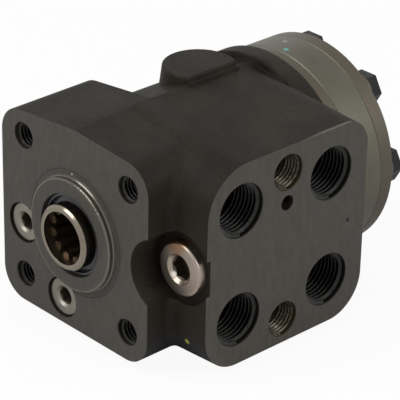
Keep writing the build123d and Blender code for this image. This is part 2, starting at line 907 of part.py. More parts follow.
# Gear ring with seven round lobes
with BuildPart() as gear_ring:
    with BuildSketch(station(plate_rear)):
        Circle(set_radius)
        Circle(pocket_radius, mode=Mode.SUBTRACT)
        with PolarLocations(lobe_circle, lobe_count):
            Circle(lobe_radius)
        with PolarLocations(screw_circle, lobe_count):
            Circle(screw_clearance_radius, mode=Mode.SUBTRACT)
    extrude(amount=-ring_thickness)
    chamfer(outer_edges(gear_ring), length=plate_edge)
    with BuildSketch(station(ring_rear)):
        add(seal_groove())
    extrude(amount=ring_groove_depth, mode=Mode.SUBTRACT)
save(gear_ring, "gear_ring")

# Gear rotor: the cycloid that rolls inside round lobes, one lobe fewer than the ring
rotor_lobes = lobe_count - 1
rotor_roller = lobe_radius + mesh_gap
rolling = lobe_circle / (eccentricity * lobe_count)
rotor_outline = []
for index in range(rotor_lobes * rotor_points_per_lobe):
    turn = 2 * math.pi * index / (rotor_lobes * rotor_points_per_lobe)
    swing = math.atan2(math.sin(-rotor_lobes * turn), rolling - math.cos(-rotor_lobes * turn))
    rotor_outline.append(
        (
            lobe_circle * math.cos(turn)
            - rotor_roller * math.cos(turn + swing)
            - eccentricity * math.cos(lobe_count * turn),
            -lobe_circle * math.sin(turn)
            + rotor_roller * math.sin(turn + swing)
            + eccentricity * math.sin(lobe_count * turn),
        )
    )
with BuildPart() as gear_rotor:
    with BuildSketch(Plane.XZ.offset(-rotor_front).shift_origin((eccentricity, rotor_front, 0))):
        with BuildLine():
            Spline(*rotor_outline, periodic=True)
        make_face()
        add(splined(head_minor, head_major, head_teeth, head_gap), mode=Mode.SUBTRACT)
    extrude(amount=rotor_front - rotor_rear)
save(gear_rotor, "gear_rotor")

# Spacer behind the cardan shaft, centred in the rotor
cardan_spacer = ring(
    spacer_hole,
    spacer_radius,
    spacer_front,
    spacer_front + spacer_thickness,
    (eccentricity, 0),
)
save(cardan_spacer, "cardan_spacer")

# End cover
with BuildPart() as end_cover:
    with BuildSketch(station(ring_rear)):
        Circle(set_radius)
        with PolarLocations(screw_circle, lobe_count):
            Circle(screw_clearance_radius, mode=Mode.SUBTRACT)
    extrude(amount=-cover_thickness)
    for edge, size in zip(outer_edges(end_cover), (plate_edge, cover_edge)):
        chamfer(edge, length=size)
save(end_cover, "end_cover")

# Face seals in the rear faces of the housing, the distributor plate and the gear ring
face_seal_inner = ring_groove_circle - ring_section_radius
face_seal_outer = ring_groove_circle + ring_section_radius
for name, face in (("plate_o_ring", housing_length), ("ring_o_ring", plate_rear), ("cover_o_ring", ring_rear)):
    face_seal = ring(face_seal_inner, face_seal_outer, face - face_seal_depth, face - face_gap)
    save(face_seal, name)

# Screws of the gear set: six alike, and the hollow one over the check valve
with BuildPart() as screw_washers:
    with BuildSketch(station(cover_rear)):
        with PolarLocations(screw_circle, lobe_count):
            Circle(washer_radius)
            Circle(screw_clearance_radius, mode=Mode.SUBTRACT)
    extrude(amount=-washer_thickness)
save(screw_washers, "screw_washers")


def cover_screw(front, angles, bore=None):
    """Hexagon head screws, from the front end of the shank, which may be bored, to the head."""
    places = [at(angle) for angle in angles]
    with BuildPart() as screws:
        with BuildSketch(station(washer_rear)):
            with Locations(*places):
                RegularPolygon(screw_head_flats / 2, 6, major_radius=False)
        extrude(amount=-screw_head_height)
        chamfer(screws.edges().group_by(Axis.Y)[-1], length=screw_head_chamfer)
        with BuildSketch(station(front)):
            with Locations(*places):
                Circle(thread_fill)
        extrude(amount=front - washer_rear)
        if bore:
            with BuildSketch(station(front)):
                with Locations(*places):
                    Circle(bore)
            extrude(amount=-rolled_pin_grip, mode=Mode.SUBTRACT)
    return screws


cover_screws = cover_screw(screw_end, cover_screw_angles)
save(cover_screws, "cover_screws")
pin_screw = cover_screw(pin_screw_end, [pin_screw_angle], bore=rolled_pin_radius + assembly_gap)
save(pin_screw, "pin_screw")
check_axis = at(pin_screw_angle)
rolled_pin = ring(
    rolled_pin_bore,
    rolled_pin_radius,
    rolled_pin_front,
    pin_screw_end + rolled_pin_grip - assembly_gap,
    check_axis,
)
save(rolled_pin, "rolled_pin")

# Check valve under the special screw
check_seat = ring(check_orifice_radius, thread_fill, check_seat_front + face_gap, check_seat_rear, check_axis)
save(check_seat, "check_seat")
check_ball_station = check_seat_rear + rest_height(check_ball_radius, check_orifice_radius)
check_ball = ball(check_ball_radius, (check_axis[0], check_ball_station, check_axis[1]))
save(check_ball, "check_ball")

# Suction valves
suction_ball_station = suction_seat + rest_height(suction_ball_radius, suction_orifice_radius)
suction_pin_front = suction_ball_station + suction_ball_radius + suction_lift
with BuildPart() as suction_pins:
    with BuildSketch(station(suction_pin_front)):
        with Locations(*[at(angle) for angle in suction_angles]):
            Circle(suction_pin_radius)
    extrude(amount=suction_pin_front - housing_length + face_gap)
save(suction_pins, "suction_pins")
for name, angle in zip(("suction_ball_left", "suction_ball_lower"), suction_angles):
    x, z = at(angle)
    suction_ball = ball(suction_ball_radius, (x, suction_ball_station, z))
    save(suction_ball, name)

# Relief valve: plug, its ring, setting screw, spring, cone and seat
relief_axis = (relief_x, 0)
relief_plug = socket_plug(
    relief_head_front,
    relief_head_radius,
    relief_seat_face,
    relief_bore_radius - thread_gap,
    relief_shank_end,
    plug_socket,
    plug_socket_mouth,
    plug_socket_depth,
    relief_head_edge,
    relief_axis,
)
save(relief_plug, "relief_plug")
relief_plug_ring = ring(
    relief_bore_radius + assembly_gap,
    relief_ring_radius - assembly_gap,
    relief_seat_face + face_gap,
    relief_seat_face + relief_ring_depth - face_gap,
    relief_axis,
)
save(relief_plug_ring, "relief_plug_ring")
relief_setting_screw = setting_screw(
    relief_guide_radius - thread_gap, relief_screw_front, relief_screw_length, relief_axis
)
save(relief_setting_screw, "relief_setting_screw")
relief_spring_front = relief_screw_front + relief_screw_length + spring_end_gap
relief_spring = coil(
    relief_spring_front,
    relief_spring_length,
    relief_spring_radius,
    relief_spring_wire,
    relief_turns,
    relief_axis,
)
save(relief_spring, "relief_spring")
relief_cone_front = relief_spring_front + relief_spring_length + spring_end_gap
relief_cone_base = relief_cone_front + relief_flange_thickness
relief_cone_slope = relief_cone_length / (relief_cone_radius - relief_tip_radius)
relief_cone = turned(
    (
        (0, relief_cone_front),
        (relief_flange_radius, relief_cone_front),
        (relief_flange_radius, relief_cone_base),
        (relief_cone_radius, relief_cone_base),
        (relief_tip_radius, relief_cone_base + relief_cone_length),
        (0, relief_cone_base + relief_cone_length),
    ),
    relief_axis,
)
save(relief_cone, "relief_cone")
relief_seat_front = (
    relief_cone_base + (relief_cone_radius - relief_orifice_radius) * relief_cone_slope + ball_seat_gap
)
relief_seat = ring(
    relief_orifice_radius,
    relief_guide_radius - thread_gap,
    relief_seat_front,
    relief_guide_end - face_gap,
    relief_axis,
)
save(relief_seat, "relief_seat")

# Shock valves: plugs, washers, setting screws and seats in pairs, each spring and ball by itself
shock_plug_seat = shock_recess_depth - shock_washer_thickness
with BuildPart() as shock_plugs:
    for axis in shock_axes:
        add(
            socket_plug(
                shock_head_front,
                shock_head_radius,
                shock_plug_seat,
                shock_bore_radius - thread_gap,
                shock_shank_end,
                shock_plug_socket,
                shock_plug_mouth,
                plug_socket_depth,
                shock_head_edge,
                axis,
            ).part
        )
save(shock_plugs, "shock_plugs")
with BuildPart() as shock_plug_washers:
    with BuildSketch(station(shock_plug_seat)):
        with Locations(*shock_axes):
            Circle(shock_head_radius - shock_washer_margin)
            Circle(shock_bore_radius + shock_washer_inner_gap, mode=Mode.SUBTRACT)
    extrude(amount=-shock_washer_thickness)
save(shock_plug_washers, "shock_plug_washers")
with BuildPart() as shock_setting_screws:
    for axis in shock_axes:
        add(setting_screw(shock_guide_radius - thread_gap, shock_screw_front, shock_screw_length, axis).part)
save(shock_setting_screws, "shock_setting_screws")
with BuildPart() as shock_seats:
    with BuildSketch(station(shock_seat_front)):
        with Locations(*shock_axes):
            Circle(shock_guide_radius - thread_gap)
            Circle(shock_orifice_radius, mode=Mode.SUBTRACT)
    extrude(amount=shock_seat_front - shock_guide_end + face_gap)
save(shock_seats, "shock_seats")
shock_ball_station = shock_seat_front - rest_height(shock_ball_radius, shock_orifice_radius)
shock_spring_front = shock_screw_front + shock_screw_length + spring_end_gap
shock_spring_inner = shock_spring_radius - shock_spring_wire / 2
shock_spring_rear = (
    shock_ball_station - math.sqrt(shock_ball_radius**2 - shock_spring_inner**2) - spring_end_gap
)
for side, (x, z) in zip(("left", "lower"), shock_axes):
    shock_ball = ball(shock_ball_radius, (x, shock_ball_station, z))
    save(shock_ball, f"shock_ball_{side}")
    shock_spring = coil(
        shock_spring_front,
        shock_spring_rear - shock_spring_front,
        shock_spring_radius,
        shock_spring_wire,
        shock_turns,
        (x, z),
    )
    save(shock_spring, f"shock_spring_{side}")
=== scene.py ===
# %% [markdown]
# The orbital steering unit, dressed for its picture.
# A steering unit is a rotary valve in an iron housing, with a small metering gear set bolted behind it.
# The construction comes packed as a fixed frame: every piece has its real size and place there.
# This lesson adds what a camera sees and a bench drawing leaves out: the skin of the casting, the ground and
# turned steel, the threads in the ports, copies of the springs, and the marks of handling.

import math

import bpy
from mathutils import Matrix, Vector


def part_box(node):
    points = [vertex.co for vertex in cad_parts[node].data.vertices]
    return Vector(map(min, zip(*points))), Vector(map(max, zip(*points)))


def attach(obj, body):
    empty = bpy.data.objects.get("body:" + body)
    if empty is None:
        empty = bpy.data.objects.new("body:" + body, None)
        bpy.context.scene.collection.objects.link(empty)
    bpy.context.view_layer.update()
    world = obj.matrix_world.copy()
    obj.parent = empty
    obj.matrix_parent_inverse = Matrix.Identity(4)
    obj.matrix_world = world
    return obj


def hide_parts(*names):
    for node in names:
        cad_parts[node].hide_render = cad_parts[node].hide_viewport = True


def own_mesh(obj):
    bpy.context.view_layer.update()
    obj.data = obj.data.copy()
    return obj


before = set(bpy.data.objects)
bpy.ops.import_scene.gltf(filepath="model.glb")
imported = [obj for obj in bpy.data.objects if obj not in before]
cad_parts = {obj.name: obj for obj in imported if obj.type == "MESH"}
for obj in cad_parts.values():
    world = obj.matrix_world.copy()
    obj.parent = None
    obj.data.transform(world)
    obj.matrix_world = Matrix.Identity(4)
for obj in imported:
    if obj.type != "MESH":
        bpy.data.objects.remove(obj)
bpy.ops.object.select_all(action="DESELECT")
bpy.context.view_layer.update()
MM = 0.001

# %% [markdown]
# The unit's own sizes are read from the frame where a node gives them, and written here where none does. The
# column face is at y = 0 on the spool's axis, the port face looks along +X, and the gear set is at the back.

# %% Sizes that the dressing shares with the construction
housing_low, housing_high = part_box("housing")
port_face = housing_high.x
bench_height = housing_low.z
relief_plug_low, relief_plug_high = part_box("relief_plug")
relief_axis = (relief_plug_low + relief_plug_high) / 2
port_stations = (28.6 * MM, 74.2 * MM)
port_height = 22.3 * MM
side_port_station = 51.7 * MM
side_port_heights = (30.0 * MM, -30.9 * MM)
column_bolt_half = 58.37 * MM / 2
print("port face at", round(port_face / MM, 2), "mm, bench at", round(bench_height / MM, 2), "mm")

# %% [markdown]
# The camera stands where the photographer stood: far off with a long lens, so that parallel edges stay nearly
# parallel. Its angles, its distance and its slight roll were fitted to the corners of the ports and the flange.
# Aiming at the middle of the picture needs no lens shift.

# %% Camera
photo_azimuth = math.radians(45.578)
photo_elevation = math.radians(27.45)
photo_roll = math.radians(1.653)
photo_distance = 875.12 * MM
photo_lens = 208.4
fitted_point = Vector((20, 60, 0)) * MM
fitted_point_right = 11.588 * MM
fitted_point_below = 1.126 * MM

back = Vector(
    (
        math.sin(photo_azimuth) * math.cos(photo_elevation),
        -math.cos(photo_azimuth) * math.cos(photo_elevation),
        math.sin(photo_elevation),
    )
)
level_right = Vector((math.cos(photo_azimuth), math.sin(photo_azimuth), 0))
level_up = back.cross(level_right)
right = level_right * math.cos(photo_roll) + level_up * math.sin(photo_roll)
up = level_up * math.cos(photo_roll) - level_right * math.sin(photo_roll)
camera_place = fitted_point + back * photo_distance
aim = fitted_point - right * fitted_point_right + up * fitted_point_below
sight = (camera_place - aim).normalized()
camera_right = up.cross(sight).normalized()
camera_up = sight.cross(camera_right)
bpy.ops.object.camera_add(location=camera_place)
camera = bpy.context.object
camera.name = "photo_camera"
camera.matrix_world = Matrix.Translation(camera_place) @ Matrix(
    (camera_right, camera_up, sight)
).transposed().to_4x4()
camera.data.lens = photo_lens
camera.data.sensor_width = 36
camera.data.clip_start = 0.05
camera.data.clip_end = 20
bpy.context.scene.camera = camera
print("camera at", [round(v, 3) for v in camera_place])

# %% [markdown]
# A small helper keeps the node trees readable: it makes a shader node, sets its options, and fills its inputs
# either with a number or with a link from another node.

# %% Node helpers
def make_node(tree, kind, inputs=None, **options):
    """Add a shader node; an input's value may be a number, a colour or another node's output."""
    made = tree.nodes.new("ShaderNode" + kind)
    for option, value in options.items():
        setattr(made, option, value)
    for key, value in (inputs or {}).items():
        if isinstance(value, bpy.types.NodeSocket):
            tree.links.new(value, made.inputs[key])
        else:
            made.inputs[key].default_value = value
    return made


def maths(tree, operation, first, second=0.0, third=0.0):
    """One step of arithmetic on sockets or numbers."""
    return make_node(tree, "Math", {0: first, 1: second, 2: third}, operation=operation).outputs[0]


def blend_colour(tree, share, low, high):
    """Mix two colours by a share from 0 to 1."""
    made = make_node(tree, "Mix", {0: share, 6: low, 7: high}, data_type="RGBA")
    return made.outputs[2]


def spread(tree, value, low, high, out_low=0.0, out_high=1.0):
    """Stretch a value from one range to another, held at both ends."""
    inputs = {"Value": value, 1: low, 2: high, 3: out_low, 4: out_high}
    return make_node(tree, "MapRange", inputs, interpolation_type="SMOOTHSTEP").outputs[0]


def noise(tree, place, scale, detail=4.0, roughness=0.55):
    """Soft random pattern, its scale in cells per metre."""
    inputs = {"Vector": place, "Scale": scale, "Detail": detail, "Roughness": roughness}
    return make_node(tree, "TexNoise", inputs).outputs[0]


def start_material(name):
    """A new material with one shader, and the Object coordinates that its patterns use."""
    material = bpy.data.materials.new(name)
    material.use_nodes = True
    tree = material.node_tree
    shader = tree.nodes["Principled BSDF"]
    place = tree.nodes.new("ShaderNodeTexCoord").outputs["Object"]
    return material, tree, shader, place


def plug_in(tree, shader, **sockets):
    """Link or set the shader's inputs by name, with underscores for spaces."""
    for key, value in sockets.items():
        name = key.replace("_", " ")
        if isinstance(value, bpy.types.NodeSocket):
            tree.links.new(value, shader.inputs[name])
        else:
            shader.inputs[name].default_value = value


def rgb(red, green, blue):
    """A colour named by its 0 to 255 screen values, as the shader wants it."""
    def linear(channel):
        share = channel / 255
        return share / 12.92 if share <= 0.04045 else ((share + 0.055) / 1.055) ** 2.4

    return (linear(red), linear(green), linear(blue), 1.0)


# %% [markdown]
# The studio is a pale bench and a pale sky. The camera sees both as plain white, and reflections see the sky
# nearly as bright, which gives polished steel something bright to mirror. The lamps only add a soft direction to
# the light.

# %% Bench, sky and lamps
bench_white, bench_seen_white = 0.82, 0.93
sky_on_object, sky_in_mirrors = 0.45, 0.75


def white_to_the_eye(tree, shaded, share):
    """Mix a shaded surface towards plain white for camera and glass rays."""
    path = make_node(tree, "LightPath")
    seen = maths(tree, "MAXIMUM", path.outputs["Is Camera Ray"], path.outputs["Is Transmission Ray"])
    amount = maths(tree, "MULTIPLY", seen, share)
    glow = make_node(tree, "Emission", {"Color": (1, 1, 1, 1), "Strength": 1.0}).outputs[0]
    return make_node(tree, "MixShader", {0: amount, 1: shaded, 2: glow}).outputs[0]


def make_bench():
    bpy.ops.mesh.primitive_plane_add(size=6.0, location=(0, 0, bench_height))
    bench = bpy.context.object
    bench.name = "bench_top"
    material, tree, shader, _ = start_material("pale_bench")
    plug_in(tree, shader, Base_Color=(bench_white, bench_white, bench_white, 1), Roughness=0.9)
    output = tree.nodes["Material Output"]
    tree.links.new(white_to_the_eye(tree, shader.outputs[0], bench_seen_white), output.inputs["Surface"])
    bench.data.materials.append(material)


def make_sky():
    world = bpy.data.worlds.new("pale_sky")
    world.use_nodes = True
    tree = world.node_tree
    path = make_node(tree, "LightPath")
    seen = maths(tree, "MAXIMUM", path.outputs["Is Camera Ray"], path.outputs["Is Transmission Ray"])
    mirrored = maths(tree, "MULTIPLY", path.outputs["Is Glossy Ray"], sky_in_mirrors)
    bright = maths(tree, "MAXIMUM", seen, mirrored)
    strength = spread(tree, bright, 0.0, 1.0, sky_on_object, 1.0)
    background = tree.nodes["Background"]
    background.inputs["Color"].default_value = (1, 1, 1, 1)
    tree.links.new(strength, background.inputs["Strength"])
    bpy.context.scene.world = world


def add_lamp(name, azimuth, elevation, distance, size, power):
    """A square soft box that looks at the unit from an azimuth and an elevation in degrees."""
    turn, lift = math.radians(azimuth), math.radians(elevation)
    towards = Vector(
        (math.sin(turn) * math.cos(lift), -math.cos(turn) * math.cos(lift), math.sin(lift))
    )
    bpy.ops.object.light_add(type="AREA", location=fitted_point + towards * distance)
    lamp = bpy.context.object
    lamp.name = name
    lamp.data.size = size
    lamp.data.energy = power
    lamp.rotation_euler = towards.to_track_quat("Z", "Y").to_euler()


make_bench()
make_sky()
add_lamp("left_soft_box", azimuth=-25, elevation=45, distance=1.6, size=0.9, power=14)
add_lamp("right_soft_box", azimuth=105, elevation=35, distance=1.5, size=0.5, power=9)
bpy.context.scene.view_settings.view_transform = "Standard"

# %% [markdown]
# The housing is one grey iron casting. Most of its skin is as it left the sand: dark, dull and finely grained.
# The column face and the port face were milled afterwards, so they are lighter and smoother, with faint tool
# marks. A mask made from the place on the casting tells the two apart. Small stains, a scuff on the boss and
# the oil in the bores are further masks of the same kind.

# %% Masks by place
def split(tree, place):
    parts = make_node(tree, "SeparateXYZ", {0: place})
    return parts.outputs[0], parts.outputs[1], parts.outputs[2]


def near(tree, place, centre, radius, soft=0.5):
    """1 within a radius of a point, fading over the outer share of it."""
    distance = make_node(tree, "VectorMath", {0: place, 1: centre}, operation="DISTANCE").outputs["Value"]
    return spread(tree, distance, radius * (1 - soft), radius, 1.0, 0.0)


def off_axis(tree, first, second, centre_first, centre_second):
    """Distance from an axis, from the two coordinates across it."""
    along_first = maths(tree, "SUBTRACT", first, centre_first)
    along_second = maths(tree, "SUBTRACT", second, centre_second)
    second_square = maths(tree, "POWER", along_second, 2.0)
    return maths(tree, "SQRT", maths(tree, "MULTIPLY_ADD", along_first, along_first, second_square))


def beyond(tree, value, edge):
    return maths(tree, "GREATER_THAN", value, edge)


def short_of(tree, value, edge):
    return maths(tree, "LESS_THAN", value, edge)


def both(tree, first, second):
    return maths(tree, "MULTIPLY", first, second)


def either(tree, first, second):
    return maths(tree, "MAXIMUM", first, second)


# %% [markdown]
# Handling leaves small marks: a scuff on the boss's corner, a dab of marking paint and a punched dot, whose dent
# is painted dark as shade. The hollow in front of the rim is darkened as painted shade. Each is one row with its
# place, its reach and its colour, so a mark is moved or dropped by its row.

# %% Marks of handling and painted shade
def colour_marks(tree, place, colour, rows):
    """Lay soft round marks over a colour; a row gives centre and radius in mm, and the mark's colour."""
    for centre, reach, tint in rows:
        spot = near(tree, place, tuple(Vector(centre) * MM), reach * MM)
        colour = blend_colour(tree, spot, colour, tint)
    return colour


iron_marks_and_shade = (
    ((3.2, 52.0, 45.4), 2.0, rgb(112, 108, 100)),
    ((48.1, 12.2, -29.5), 1.4, rgb(140, 138, 62)),
    ((-1.6, 0.0, 23.7), 0.5, rgb(190, 188, 184)),
    # painted shade: the punched dot is a near-black spot in place of the shade in its dent, which is not built
    ((57.7, 84.5, -0.6), 1.1, rgb(12, 10, 9)),
    # painted shade: a dark patch in the hollow in front of the rim, where the boss and the rim shade it
    ((4.0, 86.0, 42.5), 9.0, rgb(22, 19, 15)),
)
ring_marks = (
    ((0.6, 106.6, 43.5), 1.5, rgb(96, 166, 156)),
    ((-5.9, 112.5, 43.1), 1.3, rgb(150, 148, 138)),
)
print("marks of handling:", len(iron_marks_and_shade) + len(ring_marks))


# %% [markdown]
# The casting is one mesh with one material, so each place with a finish or a painted shade of its own is found by
# its coordinates: the milled faces, the oily ports, the stained side ports, the notch, darkened as painted shade,
# and the polished edge of the pilot.

# %% Places on the casting
face_margin = 0.05 * MM
port_wall_radius, port_wall_depth = 10.9 * MM, 16.0 * MM
side_bore_radius, side_bore_depth = 7.4 * MM, 14.0 * MM
pilot_edge_inner, pilot_edge_outer, pilot_edge_rear = 21.5 * MM, 22.7 * MM, -0.3 * MM
witness_radius, witness_half_width = 25.0 * MM, 0.3 * MM
clearing_core, clearing_reach, clearing_rear = 10 * MM, 15 * MM, 14.1 * MM
clearing_side, clearing_side_end = port_face - 9 * MM, port_face - 4 * MM
notch_side_start, notch_side = 37 * MM, 40 * MM
notch_wall, notch_wall_end = 12.4 * MM, 18 * MM
lower_notch_full, lower_notch_fade = -38 * MM, -20 * MM
crest_start, crest_slope, crest_half_width = -3.1 * MM, 0.1065, 0.35 * MM
crest_low, crest_rear = 36 * MM, 47 * MM
top_edge_side, top_edge_low = port_face - 0.5 * MM, 40.3 * MM
edge_highlight_start, edge_highlight_full = 58 * MM, 70 * MM
shoulder_front, shoulder_side = 84.5 * MM, 30 * MM


def band(tree, value, centre, half_width):
    """1 in a narrow band of a value, fading out at both sides."""
    gap = maths(tree, "ABSOLUTE", maths(tree, "SUBTRACT", value, centre))
    return spread(tree, gap, half_width / 2, half_width, 1.0, 0.0)


def between(tree, value, low, high):
    """1 between two limits of a value."""
    return both(tree, beyond(tree, value, low), short_of(tree, value, high))


def milled_faces(tree, x, y):
    """1 on the column face, the port face and the rear face."""
    column_or_port = either(tree, short_of(tree, y, face_margin), beyond(tree, x, port_face - face_margin))
    return either(tree, column_or_port, beyond(tree, y, housing_high.y - face_margin))


def bore_walls(tree, x, y, z, places, radius, depth):
    """1 on the walls of bores that start at the port face; a place is a station and a height."""
    walls = 0.0
    for station, height in places:
        walls = either(tree, short_of(tree, off_axis(tree, y, z, station, height), radius), walls)
    return both(tree, walls, between(tree, x, port_face - depth, port_face - 2 * face_margin))


def polished_pilot_edge(tree, y, from_spool):
    """1 on the turned outer edge of the pilot."""
    ring_zone = between(tree, from_spool, pilot_edge_inner, pilot_edge_outer)
    return both(tree, ring_zone, short_of(tree, y, pilot_edge_rear))


def witness_line(tree, y, from_spool):
    """1 on the fine ring that the facing tool left around the pilot."""
    ring_zone = band(tree, from_spool, witness_radius, witness_half_width)
    return both(tree, ring_zone, between(tree, y, -face_margin, face_margin))


def clearing_shade(tree, x, y, z):
    """1 around the relief plug, on the floor and the wall of its clearing, which is darkened as painted shade."""
    from_relief = off_axis(tree, x, z, relief_axis.x, relief_axis.z)
    around_plug = spread(tree, from_relief, clearing_core, clearing_reach, 1.0, 0.0)
    clear_of_face = spread(tree, x, clearing_side, clearing_side_end, 1.0, 0.0)
    return both(tree, both(tree, around_plug, clear_of_face), short_of(tree, y, clearing_rear))


def notch_walls(tree, x, y):
    """1 in the notch between the column flange and the port block."""
    beside_flange = spread(tree, x, notch_side_start, notch_side)
    before_block = spread(tree, y, notch_wall, notch_wall_end, 1.0, 0.0)
    return both(tree, beside_flange, before_block)


def flash_line_shade(tree, x, y, z):
    """1 on the parting line, which runs slightly askew along the crest of the casting."""
    crest = maths(tree, "MULTIPLY_ADD", y, -crest_slope, x)
    on_crest = both(tree, band(tree, crest, crest_start, crest_half_width), beyond(tree, z, crest_low))
    return both(tree, on_crest, short_of(tree, y, crest_rear))


def top_edge_highlight_and_wear(tree, x, y, z):
    """1 on the rear half of the port face's top edge, which is painted lighter as a highlight and as wear."""
    top_edge = both(tree, beyond(tree, x, top_edge_side), beyond(tree, z, top_edge_low))
    return both(tree, top_edge, spread(tree, y, edge_highlight_start, edge_highlight_full))


# %% [markdown]
# The colour of the casting is laid on in layers: first the sand-cast skin with its clouds and grain, then painted
# shade in the notch with a cooler tint low in it, and painted shade along the flash line, then the milled faces,
# a painted highlight with wear on the port face's top edge and painted shade in the plug's clearing, and last the
# oil and the marks.

# %% Casting finish
cloud_cells, grain_cells, fleck_cells, sand_cells = 45, 1300, 420, 900
streak_cells, streak_stretch = 30, (14, 14, 5)
sand_depth, edge_softness, shoulder_softness = 0.26 * MM, 0.8 * MM, 1.9 * MM


def lay(tree, colour, layers):
    """Lay tints over a colour; a layer is a mask, a strength and a tint."""
    for mask, strength, tint in layers:
        colour = blend_colour(tree, maths(tree, "MULTIPLY", mask, strength), colour, tint)
    return colour


def casting():
    material, tree, shader, place = start_material("iron_casting")
    x, y, z = split(tree, place)
    from_spool = off_axis(tree, x, z, 0.0, 0.0)
    milled = milled_faces(tree, x, y)
    pilot_edge = polished_pilot_edge(tree, y, from_spool)
    notch = notch_walls(tree, x, y)
    lower_notch_tint = both(tree, notch, spread(tree, z, lower_notch_full, lower_notch_fade, 1.0, 0.0))
    port_places = [(station, height) for station in port_stations for height in (port_height, -port_height)]
    side_places = [(side_port_station, height) for height in side_port_heights]
    oily = bore_walls(tree, x, y, z, port_places, port_wall_radius, port_wall_depth)
    stained = bore_walls(tree, x, y, z, side_places, side_bore_radius, side_bore_depth)

    cloud = spread(tree, noise(tree, place, cloud_cells, 5), 0.3, 0.7)
    grain = spread(tree, noise(tree, place, grain_cells, 3), 0.45, 0.7)
    fleck = spread(tree, noise(tree, place, fleck_cells, 4), 0.62, 0.76)
    cast_colour = lay(tree, rgb(28, 24, 18), (
        (cloud, 1.0, rgb(43, 39, 32)),
        (grain, 0.65, rgb(13, 11, 8)),
        (fleck, 0.14, rgb(78, 73, 64)),
        # painted shade: the notch between the column flange and the port block is darker and browner, as shade
        # between its walls
        (notch, 0.7, rgb(29, 22, 15)),
        # a cooler grey tint towards the bottom of the notch
        (lower_notch_tint, 0.6, rgb(34, 37, 42)),
        # painted shade: the flash line is a dark line in place of the shaded side of its small ridge, which is
        # not built
        (flash_line_shade(tree, x, y, z), 0.75, rgb(13, 11, 8)),
    ))
    stretched = make_node(tree, "Mapping", {0: place, 3: streak_stretch}).outputs[0]
    streaks = spread(tree, noise(tree, stretched, streak_cells, 5), 0.25, 0.75)
    milled_colour = blend_colour(tree, streaks, rgb(65, 62, 57), rgb(73, 70, 65))
    colour = lay(tree, cast_colour, (
        (milled, 1.0, milled_colour),
        (witness_line(tree, y, from_spool), 0.6, rgb(34, 30, 28)),
        (pilot_edge, 0.65, rgb(118, 112, 102)),
        # painted highlight and wear: the rear half of the port face's top edge is lighter
        (top_edge_highlight_and_wear(tree, x, y, z), 0.5, rgb(124, 120, 112)),
        # painted shade: the floor and wall of the clearing round the relief plug are darkened
        (clearing_shade(tree, x, y, z), 0.8, rgb(34, 29, 23)),
        (oily, 1.0, rgb(21, 21, 19)),
        (stained, 1.0, rgb(60, 52, 38)),
    ))
    colour = colour_marks(tree, place, colour, iron_marks_and_shade)

    sand = noise(tree, place, sand_cells, 4)
    bump_grain = make_node(tree, "Bump", {"Strength": 1.0, "Distance": sand_depth, "Height": sand}).outputs[0]
    shoulder = both(tree, beyond(tree, y, shoulder_front), short_of(tree, x, shoulder_side))
    softness = maths(tree, "MULTIPLY_ADD", shoulder, shoulder_softness, edge_softness)
    soft_edge = make_node(tree, "Bevel", {"Radius": softness, "Normal": bump_grain}, samples=6).outputs[0]
    plain = make_node(tree, "Bevel", {"Radius": 0.2 * MM}, samples=4).outputs[0]
    normal = make_node(tree, "Mix", {0: milled, 4: soft_edge, 5: plain}, data_type="VECTOR").outputs[1]
    rough = maths(tree, "MULTIPLY_ADD", milled, -0.16, 0.6)
    rough = maths(tree, "MULTIPLY_ADD", either(tree, oily, pilot_edge), -0.24, rough)
    metal = maths(tree, "MULTIPLY", either(tree, stained, pilot_edge), 0.65)
    plug_in(tree, shader, Base_Color=colour, Roughness=rough, Metallic=metal, Normal=normal)
    plug_in(tree, shader, Specular_IOR_Level=0.14)
    return material


# %% [markdown]
# Ground, turned and polished steel differ in how their fine lines run and how tightly they mirror. One maker
# serves them all: a colour, a brown stain, and turning lines round an axis given by a centre. A dark zone
# paints the shade in a socket or a bore, and marks, among them a painted highlight, are laid on last.

# %% Steel finishes
def turned_steel(name, colour, stain, roughness, centre=(0, 0, 0), dark_zones=(), marks=()):
    """Steel turned about an axis along the spool. A dark zone is an axis, two radii, a depth and a colour."""
    material, tree, shader, place = start_material(name)
    centred = make_node(tree, "VectorMath", {0: place, 1: centre}, operation="SUBTRACT").outputs[0]
    x, y, z = split(tree, centred)
    radius = off_axis(tree, x, z, 0.0, 0.0)
    lines = make_node(tree, "CombineXYZ", {0: radius, 1: y, 2: 0.0}).outputs[0]
    line_noise = noise(tree, lines, 3500, 2)
    patches = noise(tree, place, 70, 5)
    share = spread(tree, patches, 0.45, 0.75, 0.0, 0.35)
    base = blend_colour(tree, share, colour, stain)
    rough = maths(tree, "MULTIPLY_ADD", patches, 0.15, roughness - 0.07)
    place_x, place_y, place_z = split(tree, place)
    for (axis_x, axis_z), inner, outer, depth, tint in dark_zones:
        away = off_axis(tree, place_x, place_z, axis_x * MM, axis_z * MM)
        ring_zone = both(tree, beyond(tree, away, inner * MM), short_of(tree, away, outer * MM))
        zone = both(tree, ring_zone, beyond(tree, place_y, depth * MM))
        base = blend_colour(tree, zone, base, tint)
        rough = maths(tree, "MULTIPLY_ADD", zone, 0.15, rough)
    base = colour_marks(tree, place, base, marks)
    bump = make_node(
        tree, "Bump", {"Strength": 0.4, "Distance": 0.01 * MM, "Height": line_noise}
    ).outputs[0]
    normal = make_node(tree, "Bevel", {"Radius": 0.15 * MM, "Normal": bump}, samples=4).outputs[0]
    plug_in(tree, shader, Base_Color=base, Roughness=rough, Metallic=1.0, Normal=normal)
    return material


def black_rubber():
    material, tree, shader, place = start_material("seal_rubber")
    wear = noise(tree, place, 400, 4)
    colour = blend_colour(tree, spread(tree, wear, 0.4, 0.7), rgb(17, 16, 22), rgb(31, 29, 38))
    plug_in(tree, shader, Base_Color=colour, Roughness=0.26, Metallic=0.0)
    return material


